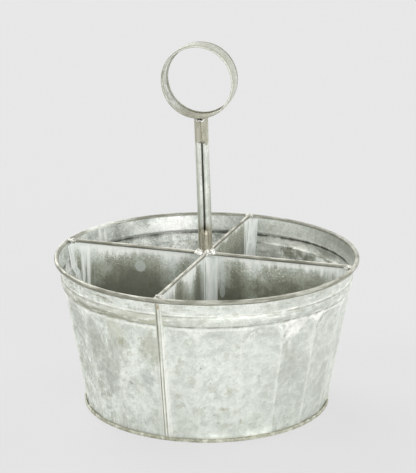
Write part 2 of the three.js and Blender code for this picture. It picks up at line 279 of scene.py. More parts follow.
def grain(place, size, stretch=(1, 1, 1), detail=3.0, rough=0.5, turn=0, shift=0.0):
    """Noise from 0 to 1, with lumps of about the size, drawn out where the stretch is under 1.

    turn is in degrees about Y. Another shift gives other lumps."""
    away, turned = (shift, shift, shift), (0, math.radians(turn), 0)
    mapped = place.node(
        "Mapping", {"Vector": place, "Location": away, "Rotation": turned, "Scale": stretch}
    )
    return mapped.node(
        "TexNoise", {"Vector": mapped, "Scale": 1 / size, "Detail": detail, "Roughness": rough}
    )


def mottled_zinc(place, pale, grey, olive, shift=0.0, stained=0.5):
    """Chalky zinc: faint clouds, a fine frost of crystals, and a few crisp olive stains."""
    cloud = grain(place, 0.018, detail=5.0, rough=0.6, shift=shift).between(0.3, 0.7)
    frost = grain(place, 0.0024, detail=7.0, rough=0.78, shift=shift + 1).between(0.3, 0.7)
    flake = grain(place, 0.008, detail=7.0, rough=0.7, shift=shift + 2).between(0.36, 0.64)
    grit = grain(place, 0.0014, detail=1.0, shift=shift + 3).between(0.35, 0.65)
    speck = grain(place, 0.0022, detail=2.0, shift=shift + 5).between(0.7, 0.74)
    tone = cloud * 0.27 + frost * 0.36 + flake * 0.22 + grit * 0.15
    bent = place.node("VectorMath", {0: place, 1: frost * 0.003}, operation="ADD")
    crystal = bent.node("TexVoronoi", {"Vector": bent, "Scale": 260.0}, output="Color").axis("X")
    colour = tone.ramp((0.15, grey), (0.75, pale)).paint(
        (pale, crystal.between(0.24, 0.2) * 0.45),
        (grey, crystal.between(0.74, 0.78) * 0.4),
        (olive, crystal.between(0.945, 0.965) * (frost * 0.6 + 0.25) * stained),
        ([part * 0.7 for part in olive], speck * stained),
    )
    return colour, tone


def blot(place, middle, reach, squash=(1, 1, 1), soft=0.15, ragged=0.0):
    """1 within a reach of a point and 0 beyond it, with a soft or a ragged edge."""
    aside = place.node("VectorMath", {0: place, 1: middle}, operation="SUBTRACT")
    aside = aside.node("VectorMath", {0: aside, 1: squash}, operation="MULTIPLY")
    distance = aside.node("VectorMath", {0: aside}, output="Value", operation="LENGTH")
    if ragged:
        torn = grain(place, reach * 0.8, detail=6.0, rough=0.72, shift=reach * 900) - 0.5
        distance = distance + torn * ragged * reach
    return distance.between(reach * (1 + soft), reach * (1 - soft))


def coat(finish, colour, roughness, metallic, height, depth, shine=0.5):
    """Sends the channels to the material's shader, with the height as a bump of a depth.

    shine is how strongly the share that isn't metal reflects."""
    shader = finish.node_tree.nodes["Principled BSDF"]
    height.feed(shader.inputs["Base Color"], colour)
    height.feed(shader.inputs["Roughness"], roughness)
    height.feed(shader.inputs["Metallic"], metallic)
    height.feed(shader.inputs["Specular IOR Level"], shine)
    bump = height.node("Bump", {"Height": height, "Distance": depth, "Strength": 1.0})
    height.feed(shader.inputs["Normal"], bump)


def add_piece(name, sheet, finish, node, crease=35):
    """Makes an object of a bmesh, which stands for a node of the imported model."""
    for face in sheet.faces:
        face.smooth = True
    for edge in sheet.edges:
        edge.smooth = edge.calc_face_angle(0) < math.radians(crease)
    mesh = bpy.data.meshes.new(name)
    sheet.to_mesh(mesh)
    sheet.free()
    mesh.materials.append(finish)
    piece = bpy.data.objects.new(name, mesh)
    bpy.context.scene.collection.objects.link(piece)
    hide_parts(node)
    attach(piece, "root")


wall_zinc, place = start_finish("wall zinc")
side, depth, height = (place.axis(letter) for letter in "XYZ")
edge, inside, corner, rubbed = (place.marked(mark) for mark in WALL_MARKS)
outside = 1 - inside

# The open wall: zinc clouds that are greyer to the left, painted shade over the left side, soot,
# scratches and chips.
stained = 0.8 - side.between(-0.03, 0.03) * 0.35
colour, tone = mottled_zinc(
    place, (227, 231, 224), (192, 197, 189), (168, 168, 144), stained=stained
)
weathered = side.between(0.02, -0.075)
blotch = grain(place, 0.01, detail=7.0, rough=0.7, shift=2.0)
bloom = grain(place, 0.012, detail=7.0, rough=0.7, shift=2.5).between(0.52, 0.6)
wash = grain(place, 0.006, detail=8.0, rough=0.78, shift=2.2).between(0.42, 0.56) * 0.75 + 0.25
to_back = side.between(0.045, 0.09) * (height.between(0.005, 0.045) * 0.6 + 0.4)
shaded_left = side.between(-0.025, -0.085)
soot = grain(place, 0.016, detail=5.0, rough=0.6, shift=2.8).between(0.56, 0.68)
scratch = grain(place, 0.0012, stretch=(1, 1, 0.1), turn=32, shift=4.0).between(0.57, 0.63)
chip = grain(place, 0.0036, detail=8.0, rough=0.8, shift=4.5)
chipped = (weathered * 0.6 + 0.15) * outside
colour = colour.paint(
    ((198, 203, 195), weathered * 0.4),
    ((160, 164, 153), blotch.between(0.45, 0.64) * (weathered * 0.75 + 0.1)),
    ((238, 243, 238), bloom * (weathered * 0.35 + 0.2)),
    ((174, 178, 171), to_back * wash * outside * 0.54),
    # Painted shade over the left side of the wall.
    ((160, 164, 156), shaded_left * wash * outside * 0.36),
    ((154, 155, 134), soot * (weathered * 0.5 + 0.06)),
    ((240, 243, 238), scratch * weathered * 0.6),
    ((148, 151, 138), chip.between(0.6, 0.63) * chipped),
    ((246, 249, 244), chip.between(0.41, 0.38) * chipped),
)

# The scuffed collar, a painted highlight as a pale strip down the far left, painted shade with dirt
# just under the arches, and wear, partly painted highlight, on their edges and in the corners between
# them.
level = grain(place, 0.003, stretch=(0.26, 0.26, 1.1), detail=7.0, rough=0.72, shift=3.0)
scuffed = height.between(BEAD_FOOT, BEAD_FOOT + 0.0015) * outside * (weathered * 0.5 + 0.42)
worn = grain(place, 0.006, detail=6.0, rough=0.7, shift=5.0)
to_right = side.between(0.06, 0.08)
to_right = to_right.maths("MAXIMUM", to_right, depth.between(0.03, 0.07) * 0.8) * outside
slant = depth + height * 0.08 + (worn - 0.5) * 0.012
# A painted highlight down the ridge at the wall's far left edge.
far_left_highlight = slant.within(-0.056, -0.049, -0.039, -0.023) * side.between(-0.06, -0.07)
far_left_highlight = far_left_highlight * height.within(0.003, 0.01, 0.082, 0.09) * outside
# Painted shade, with dirt, just under the arches, strongest on the right.
shade_under_arch = corner.between(0.0, 0.9) * worn.between(0.3, 0.48)
plain = corner.between(-0.1, -0.8) * worn.between(0.42, 0.56)
brushed = grain(place, 0.0018, stretch=(0.7, 0.7, 0.5), detail=5.0, rough=0.7, shift=5.5)
rubbed = rubbed * side.between(0.042, 0.056) * outside * brushed.between(0.45, 0.55)
colour = colour.paint(
    ((146, 147, 132), level.between(0.54, 0.63) * scuffed),
    ((250, 250, 244), level.between(0.44, 0.37) * scuffed),
    ((221, 222, 212), far_left_highlight * (worn * 0.9 + 0.1)),
    ((134, 137, 127), shade_under_arch * (to_right * 0.75 + 0.05)),
    # The corners between arches and the ridge and arch edges are worn bright, partly as a painted
    # highlight.
    ((247, 248, 243), plain * (to_right * 0.6 + 0.2)),
    ((244, 246, 240), edge * (worn.between(0.36, 0.6) * 0.7 + 0.12) * (to_right * 0.35 + 0.4)),
    ((252, 252, 246), rubbed * 0.95),
)

# Painted shade, with dirt, on the bead's lower half and in the creases at its foot and top, painted
# highlights under it and, with nicks, along its top edge, and a painted highlight on the wall beside
# the seam.
broken = grain(place, 0.007, stretch=(1, 1, 0.2), shift=6.0).between(0.3, 0.65)
bead_to_left = side.between(0.035, -0.03)
on_bead = height.within(BEAD_FOOT, BEAD_FOOT + 0.001, BEAD_TOP - 0.0006, BEAD_TOP + 0.0009) * outside
low_bead_shade = height.within(BEAD_FOOT, BEAD_FOOT + 0.0006, BEAD_FOOT + 0.003, BEAD_FOOT + 0.0052)
yellowed = side.within(-0.05, -0.012, 0.0, 0.014) * depth.between(-0.04, -0.05)
grimy = level.between(0.4, 0.56)
nicks_and_highlight = level.between(0.5, 0.38) * 0.5 + 0.35
beside_seam = side.within(0.0027, 0.0033, 0.0036, 0.0052 - height * 0.01)
beside_seam = beside_seam * depth.between(-0.05, -0.06) * height.between(0.092, 0.08) * outside
colour = colour.paint(
    ((176, 178, 166), on_bead * (bead_to_left * 0.55 + 0.1)),
    # Painted shade on the bead's lower half, strongest to the left, with dirt.
    ((134, 135, 117), low_bead_shade * outside * (bead_to_left * 0.8 + 0.05) * (grimy * 0.65 + 0.35)),
    ((244, 245, 238), on_bead * level.between(0.5, 0.36) * 0.45),
    # Painted shade in the crease at the bead's foot, and a painted highlight on the arch tops below
    # it.
    ((116, 116, 98), height.near(BEAD_FOOT - 0.0001, 0.0012) * (broken * 0.75 + 0.08)),
    ((246, 247, 240), height.near(BEAD_FOOT - 0.0024, 0.0014) * (broken * 0.4 + 0.15)),
    ((206, 206, 182), on_bead * yellowed * level.between(0.44, 0.56) * 0.4),
    # Painted shade in the crease at the bead's top, and a painted highlight with nicks above it.
    ((150, 150, 136), height.near(BEAD_TOP, 0.0008) * (broken * 0.7 + 0.1) * outside),
    ((250, 250, 244), height.near(BEAD_TOP + 0.0011, 0.0011) * nicks_and_highlight),
    # A painted highlight on the wall beside the seam.
    ((246, 246, 241), beside_seam * (worn * 1.3 - 0.15)),
)

# Inside, the zinc is spangled, with a painted sheen to the left and painted shade to the right and
# lower down, smeared with flux under the bead, and painted shade, with dirt, along the bead's groove.
spangle = grain(place, 0.0085, stretch=(1, 1, 0.8), detail=6.0, rough=0.65, shift=8.0)
bright = spangle.ramp((0.36, (168, 173, 166)), (0.5, (210, 216, 211)), (0.64, (244, 247, 243)))
streak = grain(place, 0.005, stretch=(1, 1, 0.25), detail=4.0, shift=6.5).between(0.45, 0.7)
inside_shade = side.between(0.0, 0.06) * 0.22 + side.between(0.04, 0.09) * 0.16
inside_shade = inside_shade + height.between(0.085, 0.03) * 0.6
smear = grain(place, 0.011, stretch=(0.45, 0.45, 1.2), detail=8.0, rough=0.72, shift=8.6)
under = inside * height.between(0.0975, 0.0955)
smear_share = side.between(-0.04, 0.02) * 0.22 + 0.35
fleck = grain(place, 0.0014, detail=4.0, rough=0.7, shift=8.9)
flecked = inside * (0.65 - side.between(-0.03, 0.04) * 0.4)
groove_height = side.between(0.01, 0.07) * 0.0014 + 0.0972
groove_shade = height.near(groove_height, broken * 0.0013 + 0.0008) * inside
top_right_shade = height.between(0.103, 0.107) * side.between(0.045, 0.085) * inside
colour = colour.paint(
    # A painted sheen on the spangle to the left, and painted shade to the right and lower down.
    (bright, inside * side.between(0.02, -0.02) * 0.8),
    ((126, 129, 114), inside * inside_shade * (streak * 0.6 + 0.5)),
    ((124, 127, 112), under * smear.between(0.52, 0.6) * smear_share),
    ((250, 250, 242), under * smear.between(0.5, 0.42) * 0.85),
    ((146, 147, 128), flecked * fleck.between(0.57, 0.62)),
    ((252, 253, 248), flecked * fleck.between(0.43, 0.38)),
    # Painted shade, with dirt, along the top of the bead's groove.
    ((62, 63, 50), groove_shade * (worn * 0.3 + 0.75)),
    ((120, 122, 108), top_right_shade * 0.4),
)

# Single stains and scuffs on either face of the wall: the middle, the reach, how it is squashed,
# how soft and how ragged its edge is, the colour, and the share that it covers.
outer_stains = [
    ((-0.031, -0.0981, 0.0723), 0.0028, (1, 1, 0.75), 0.15, 3.4, (154, 156, 130), 0.8),
    ((-0.0564, -0.0853, 0.0688), 0.0022, (1, 1, 0.7), 0.2, 3.4, (164, 164, 144), 0.7),
    ((-0.0262, -0.0938, 0.0405), 0.0019, (1, 1, 1), 0.25, 3.0, (134, 138, 134), 0.85),
    ((-0.0469, -0.0806, 0.0163), 0.0018, (1, 1, 0.7), 0.3, 3.4, (158, 160, 146), 0.7),
    ((-0.0546, -0.0781, 0.0283), 0.0019, (1, 1, 0.8), 0.25, 3.4, (160, 158, 138), 0.75),
    ((-0.0063, -0.1024, 0.0706), 0.0085, (1, 1, 0.6), 0.5, 3.2, (164, 166, 148), 0.75),
    ((-0.0125, -0.099, 0.047), 0.0055, (1, 1, 0.9), 0.6, 3.2, (160, 165, 162), 0.75),
    ((-0.038, -0.0973, 0.0809), 0.0075, (1, 1, 0.8), 0.6, 3.2, (176, 178, 158), 0.6),
    ((-0.046, -0.084, 0.041), 0.0085, (1, 1, 0.6), 0.6, 3.4, (156, 160, 152), 0.6),
    ((-0.076, -0.069, 0.078), 0.0075, (1, 1, 0.45), 0.6, 3.0, (144, 147, 139), 0.7),
    ((-0.056, -0.0795, 0.066), 0.0085, (1, 1, 0.5), 0.6, 3.2, (156, 160, 151), 0.65),
    ((-0.0375, -0.0925, 0.063), 0.007, (1, 1, 0.5), 0.6, 3.2, (166, 170, 160), 0.6),
    ((0.045, -0.0862, 0.0396), 0.0021, (1, 1, 0.6), 0.2, 3.4, (176, 178, 156), 0.75),
    ((0.0411, -0.0855, 0.026), 0.0022, (0.6, 0.6, 1.5), 0.3, 3.0, (172, 172, 150), 0.75),
    ((0.0512, -0.0775, 0.0144), 0.0016, (1.2, 1.2, 0.6), 0.3, 2.4, (166, 164, 142), 0.8),
    ((0.0638, -0.0707, 0.0278), 0.0022, (1, 1, 1), 0.25, 3.2, (176, 178, 160), 0.75),
    ((0.064, -0.0741, 0.0434), 0.0007, (1, 1, 0.14), 0.5, 1.5, (158, 160, 142), 0.7),
    ((0.0278, -0.0967, 0.0592), 0.0009, (1, 1, 1), 0.3, 1.0, (96, 98, 90), 0.85),
    ((0.086, -0.058, 0.051), 0.008, (1, 1, 0.5), 0.7, 3.2, (172, 176, 166), 0.6),
    ((0.0845, -0.0615, 0.082), 0.0062, (1, 1, 0.7), 0.5, 3.4, (252, 252, 247), 0.85),
    ((0.0895, -0.0545, 0.0862), 0.0036, (1, 1, 0.8), 0.5, 3.0, (250, 250, 245), 0.7),
]
inner_stains = [
    ((-0.1056, -0.0088, 0.0925), 0.0075, (1, 1, 1), 0.12, 0.6, (254, 255, 252), 1.0),
    ((0.0335, 0.0985, 0.0885), 0.0042, (0.7, 1, 1.2), 0.5, 2.8, (100, 102, 86), 0.95),
    ((0.0405, 0.096, 0.0865), 0.005, (0.6, 1, 1.3), 0.6, 2.8, (106, 108, 92), 0.85),
    ((0.054, 0.0895, 0.086), 0.0055, (0.6, 1, 1.4), 0.6, 2.8, (112, 114, 98), 0.85),
    ((0.021, 0.1035, 0.0925), 0.0065, (1, 1, 1.2), 0.35, 2.0, (244, 247, 240), 1.0),
    ((0.044, 0.0955, 0.094), 0.005, (0.6, 0.6, 1.8), 0.5, 2.6, (200, 203, 192), 0.6),
    # A painted highlight on the inner collar at the back left.
    ((-0.058, 0.0945, 0.1045), 0.013, (0.8, 0.8, 1.6), 0.4, 1.8, (254, 255, 252), 1.0),
    ((-0.078, 0.076, 0.1), 0.006, (0.6, 0.6, 1.6), 0.5, 2.4, (236, 240, 234), 0.8),
    ((-0.1002, 0.0405, 0.1065), 0.0015, (1, 1, 0.25), 0.5, 1.2, (254, 255, 252), 1.0),
    ((-0.0978, 0.0452, 0.1035), 0.0014, (1, 1, 0.25), 0.5, 1.2, (254, 255, 252), 1.0),
]
mottle = grain(place, 0.0035, detail=7.0, rough=0.76, shift=5.8).between(0.38, 0.6) * 0.36 + 0.64
for face, stains in ((outside, outer_stains), (inside, inner_stains)):
    for middle, reach, squash, soft, ragged, stain, share in stains:
        stained = blot(place, middle, reach, squash, soft, ragged) * face
        colour = colour.paint((stain, stained * mottle * share))

# The dirty foot, and the roll: dull and rubbed, with painted shade below it and wear with a painted
# highlight on its crown, and chalked white at the back left.
rub = grain(place, 0.003, stretch=(0.14, 0.14, 1), detail=6.0, rough=0.7, shift=7.0)
shade_under_roll = height.between(0.1104, 0.1097)
crown_wear_and_highlight = height.between(0.1119, 0.1124) * outside
chalked = blot(place, (-0.0985, 0.05, 0.111), 0.021, (1, 1, 0.5), 0.35, 1.2)
roll_colour = rub.ramp((0.34, (104, 104, 90)), (0.5, (134, 134, 121)), (0.64, (178, 179, 167)))
# Painted shade under the roll, and a painted highlight, with wear, on its crown.
roll_colour = roll_colour.paint(
    ((88, 87, 74), shade_under_roll * (rub.between(0.35, 0.6) * 0.45 + 0.45)),
    ((204, 203, 190), crown_wear_and_highlight * rub.between(0.35, 0.55) * 0.45),
    ((226, 228, 219), chalked * rub.between(0.38, 0.52) * 0.85),
)
roll = (height - inside * 0.0014).between(0.1088, 0.1093)
foot_dirt = height.between(0.0045, 0.002)
colour = colour.paint(((160, 160, 140), foot_dirt * 0.5), (roll_colour, roll))
coat(wall_zinc, colour, 0.5 - tone * 0.14, 0.75 - roll * 0.45 - inside * 0.3, tone, 0.00025)
add_piece("wall", wall, wall_zinc, "bucket_wall", crease=50)

# Side seam. The two edges of the wall's sheet, hooked together and hammered down. It stands out
# of the wall as a flat strip, with a sharp lap along its left side.
SEAM_RISE = 0.0009
SEAM_FOOT, SEAM_TOP = 0.0032, ROLL_CENTRE[1] - ROLL_RADIUS
SEAM_STEPS = 90
seam_section = [
    *[(-0.5, -0.4), (-0.5, 0.5), (-0.44, 0.8), (-0.38, 0.75), (-0.33, 0.3), (-0.27, 0.25)],
    *[(-0.2, 0.75), (-0.1, 1.0), (0.06, 0.95), (0.12, 0.6), (0.18, 0.65), (0.24, 0.95)],
    *[(0.38, 0.9), (0.44, 0.5), (0.5, -0.4)],
]
points = [(across * SEAM_WIDTH, -rise * SEAM_RISE, 0) for across, rise in seam_section]
seam = sweep(points + points[:1], SEAM_STEPS, dvec=(0, 0, 1 / SEAM_STEPS))
bmesh.ops.holes_fill(seam, edges=[edge for edge in seam.edges if edge.is_boundary])
bmesh.ops.recalc_face_normals(seam, faces=seam.faces)
seam_across = seam.verts.layers.float.new("across")
for vertex in seam.verts:
    vertex[seam_across] = vertex.co.x / SEAM_WIDTH
    height = SEAM_FOOT + (SEAM_TOP - SEAM_FOOT) * vertex.co.z
    wander = dent(Vector((0, 0, height)), 0.02, 0.0004)
    out = wall_radius(height) + 0.6 * bead_rise(height)
    vertex.co = Vector((vertex.co.x + wander, vertex.co.y - out, height))
seam_turn = Matrix.Rotation(SEAM_ANGLE + math.pi / 2, 3, "Z")
bmesh.ops.rotate(seam, verts=seam.verts, matrix=seam_turn)

seam_zinc, place = start_finish("seam zinc")
height = place.axis("Z")
across = place.marked("across") + grain(place, 0.009, stretch=(1, 1, 0.5), shift=9.4) * 0.12 - 0.06
seam_streaks = grain(place, 0.006, stretch=(1, 1, 0.4), detail=4.0, shift=9.2).between(0.3, 0.65)
low = height.between(0.072, 0.055)
white = across.between(0.2, 0.27) * (1 - height.between(0.078, 0.09) * 0.8)
dark = across.near(-0.3, 0.17 - low * 0.05) * (0.95 - low * 0.2)
rust = height.within(0.1035, 0.105, 0.1065, 0.108) * across.near(0.0, 0.25)
colour, tone = mottled_zinc(place, (226, 229, 221), (190, 193, 183), (176, 174, 150), 9.0)
# Painted shade in the lap's groove on the left and in the narrow groove to the right, and painted
# highlights on the ridges beside them.
colour = colour.paint(
    ((178, 179, 165), across.between(0.05, -0.1) * (0.55 - low * 0.35)),
    ((246, 247, 240), across.near(-0.08, 0.14) * low * 0.8),
    ((140, 140, 118), across.near(0.13, 0.1) * (seam_streaks * 0.4 + 0.2 + low * 0.35)),
    ((242, 243, 237), white * (seam_streaks * 0.4 + 0.5)),
    ((246, 246, 240), across.between(-0.38, -0.45) * low),
    ((116, 116, 95), dark * (seam_streaks * 0.4 + 0.6)),
    ((152, 122, 96), rust * 0.8),
)
coat(seam_zinc, colour, 0.5 - tone * 0.14, 0.75, tone, 0.00025)
add_piece("side_seam", seam, seam_zinc, "bucket_wall", crease=50)

# Rim wire. A hoop of drawn steel wire that stiffens the rim, held in the wall's roll. It shows
# only as a glint in the open lip of the roll.
WIRE_RADIUS = 0.00085
WIRE_STEPS = 168
wire = lathe(arc(ROLL_CENTRE, WIRE_RADIUS, 0, -math.tau, 10), WIRE_STEPS)
bmesh.ops.recalc_face_normals(wire, faces=wire.faces)
wire_steel, place = start_finish("wire steel")
tone = grain(place, 0.003)
colour = tone.ramp((0.3, (96, 94, 86)), (0.7, (150, 150, 142)))
coat(wire_steel, colour, 0.5 - tone * 0.1, 0.8, tone, 0.0001)
add_piece("wire", wire, wire_steel, "rim_wire")

# Base. A pressed disc, raised in the middle, that stands on a flat land. Its edge is hooked up
# and over the foot of the wall, which makes the foot seam, and is nicked where the ridges meet it.
PAN_EDGE = 0.0818
PAN_RISE = 0.002
LAND_START = 0.0848
HOOK_RADIUS = 0.0918
HOOK_TOP = 0.0024
HOOK_BEND = 0.0006
HOOK_CORNER = 0.0002
BASE_STEPS = FLUTES * 16
base_path = [
    (0.0, PAN_RISE),
    *[(radius, PAN_RISE) for radius in span(0.02, PAN_EDGE, 4)],
    (PAN_EDGE + 0.001, 0.8 * PAN_RISE),
    (LAND_START - 0.0008, 0.2 * PAN_RISE),
    (LAND_START, 0.0),
    *[(radius, 0.0) for radius in span(LAND_START + 0.0017, HOOK_RADIUS - HOOK_BEND, 3)],
    (HOOK_RADIUS - HOOK_CORNER, HOOK_CORNER),
    (HOOK_RADIUS, HOOK_BEND),
    (HOOK_RADIUS, HOOK_TOP - HOOK_BEND),
    (HOOK_RADIUS - HOOK_CORNER, HOOK_TOP - HOOK_CORNER),
    (HOOK_RADIUS - HOOK_BEND, HOOK_TOP),
    (HOOK_RADIUS - HOOK_BEND - 0.0005, HOOK_TOP),
]
base = lathe(base_path, BASE_STEPS, FIRST_RIDGE)
bmesh.ops.reverse_faces(base, faces=base.faces)
for vertex in base.verts:
    radius = math.hypot(vertex.co.x, vertex.co.y)
    if radius > HOOK_RADIUS - 0.0003:
        turn = (math.atan2(vertex.co.y, vertex.co.x) - FIRST_RIDGE) / math.tau * FLUTES
        beside = abs(turn - round(turn))
        nick = bell(beside, 0.05) * (0.5 + noise.noise(vertex.co / 0.03))
        pull = 0.0003 * nick - 0.0003 * math.sin(math.pi * beside) + dent(vertex.co, 0.006, 0.0002)
        share = 1 + pull / radius * smooth(vertex.co.z, 0, 0.001)
        vertex.co.x *= share
        vertex.co.y *= share
        if vertex.co.z > 0.0015:
            vertex.co.z -= 0.0005 * max(0.0, nick)
bmesh.ops.solidify(base, geom=base.faces[:], thickness=SHEET)

base_zinc, place = start_finish("base zinc")
radius = place.node("VectorMath", {0: place}, output="Value", operation="LENGTH")
fold_tone = grain(place, 0.004, detail=5.0, rough=0.65, shift=6.0)
fold = fold_tone.ramp((0.3, (128, 127, 108)), (0.5, (166, 166, 148)), (0.66, (206, 207, 194)))
colour, tone = mottled_zinc(place, (206, 208, 196), (160, 161, 147), (128, 126, 104), 4.0)
colour = colour.paint((fold, radius.between(0.0895, 0.091)))
coat(base_zinc, colour, 0.6 - tone * 0.15, 0.35, tone, 0.0003)
add_piece("base", base, base_zinc, "base_pan")

# Dividers. Upright panels of the same sheet: one runs right across, and two shorter ones meet it
# from the front and the back. Each top edge is rolled over to one side as a hem, and the ends are
# bent along what they are soldered to, the wall or the long panel.
CROSS_X, CROSS_Y = -0.001, 0.002
PANEL_FOOT = 0.003
HEM_RADIUS = 0.0013
HEM_TOP = 0.1138
HEM_FOOT = 0.1104
HEM_OUT = HEM_RADIUS - SHEET / 2
HEM_CENTRE = HEM_TOP - HEM_RADIUS
TAB_WIDTH = 0.008
TAB_TOP = 0.1098
TAB_BEND = 0.0009
CLEARANCE = 0.0003
LONG_STEPS, SHORT_STEPS = 120, 70


def seat(aside, height):
    """Where along a panel the wall is, clear of the flutes and of the rim.

    aside is how far the panel lies from the caddy's middle."""
    flutes = FLUTE_DEPTH * smooth(height, BEAD_FOOT, ARCH_TOP)
    radius = min(wall_radius(height) - SHEET - flutes, UNDER_RIM) - CLEARANCE
    return math.sqrt(radius**2 - aside**2)


def short_of(height):
    """How far a panel's end is held back for the bend of its tab, at the heights of the tab."""
    return TAB_BEND * smooth(height, TAB_TOP + 0.0009, TAB_TOP)


def divider(steps, place_point, tabs, seed):
    """A panel with a rolled top edge, made from -1 to 1 and then put in place, with its tabs."""
    heights = [*span(PANEL_FOOT, TAB_TOP, 30), HEM_FOOT, HEM_FOOT + 0.0005, HEM_FOOT + 0.0014]
    path = [(-SHEET / 2, height) for height in heights]
    path += arc((HEM_OUT, HEM_CENTRE), HEM_RADIUS, math.pi, math.radians(-105), 14)
    panel = sweep([(-1, side, height) for side, height in path], steps, dvec=(2 / steps, 0, 0))
    tab_share = panel.verts.layers.float.new("tab")
    ends = {
        run: [
            edge
            for edge in panel.edges
            if all(abs(vertex.co.x - run) < 1e-4 for vertex in edge.verts)
            and all(vertex.co.z < TAB_TOP + 1e-5 and vertex.co.y < 0 for vertex in edge.verts)
        ]
        for run in tabs
    }
    for vertex in panel.verts:
        run, side, height = vertex.co
        warp = dent(Vector((run * 0.1 + seed, 0, height)), 0.03, 0.0006)
        warp *= (1 - run * run) * (1 - 0.5 * smooth(height, 0.1, 0.112))
        vertex.co = place_point(run, side + warp, height)
    for run, edges in ends.items():
        for reach in (TAB_BEND / 3, TAB_BEND * 2 / 3, TAB_BEND, 0.0025, 0.0045, 0.0065, TAB_WIDTH):
            grown = bmesh.ops.extrude_edge_only(panel, edges=edges)["geom"]
            fresh = {part for part in grown if isinstance(part, bmesh.types.BMVert)}
            edges = [
                part
                for part in grown
                if isinstance(part, bmesh.types.BMEdge) and fresh.issuperset(part.verts)
            ]
            bend = TAB_BEND - math.sqrt(TAB_BEND**2 - max(0.0, TAB_BEND - reach) ** 2)
            for vertex in fresh:
                vertex.co = tabs[run](reach, bend, vertex.co.z)
                vertex[tab_share] = 1.0
    bmesh.ops.remove_doubles(panel, verts=panel.verts, dist=1e-6)
    bmesh.ops.solidify(panel, geom=panel.faces[:], thickness=SHEET)
    return panel


def long_point(run, side, height):
    """A point of the long panel, from its place on the unit panel."""
    return Vector((run * (seat(CROSS_Y, height) - short_of(height)), CROSS_Y - side, height))


def long_tab(way):
    """The tab along the wall at the left (-1) or the right (1) end of the long panel."""
    back = CROSS_Y + SHEET / 2
    return lambda reach, bend, height: Vector(
        (way * (seat(back - reach, height) - bend), back - reach, height)
    )


def short_divider(way, seed):
    """A half panel between the long one and the wall, to the front (-1) or to the back (1)."""
    near = CROSS_Y + way * (SHEET / 2 + CLEARANCE)
    hem_near = CROSS_Y - HEM_OUT - HEM_RADIUS - CLEARANCE if way < 0 else near
    left = CROSS_X - SHEET / 2

    def place_point(run, side, height):
        far = way * (seat(CROSS_X, height) - short_of(height))
        rolled = smooth(height, HEM_FOOT, HEM_FOOT + 0.0005)
        middle = (near + way * short_of(height)) * (1 - rolled) + hem_near * rolled
        first, last = (far, middle) if way < 0 else (middle, far)
        return Vector((CROSS_X + side, first + (last - first) * (run + 1) / 2, height))

    def wall_tab(reach, bend, height):
        return Vector((left + reach, way * (seat(left + reach, height) - bend), height))

    def middle_tab(reach, bend, height):
        return Vector((left + reach, near + way * bend, height))

    return divider(SHORT_STEPS, place_point, {way: wall_tab, -way: middle_tab}, seed)


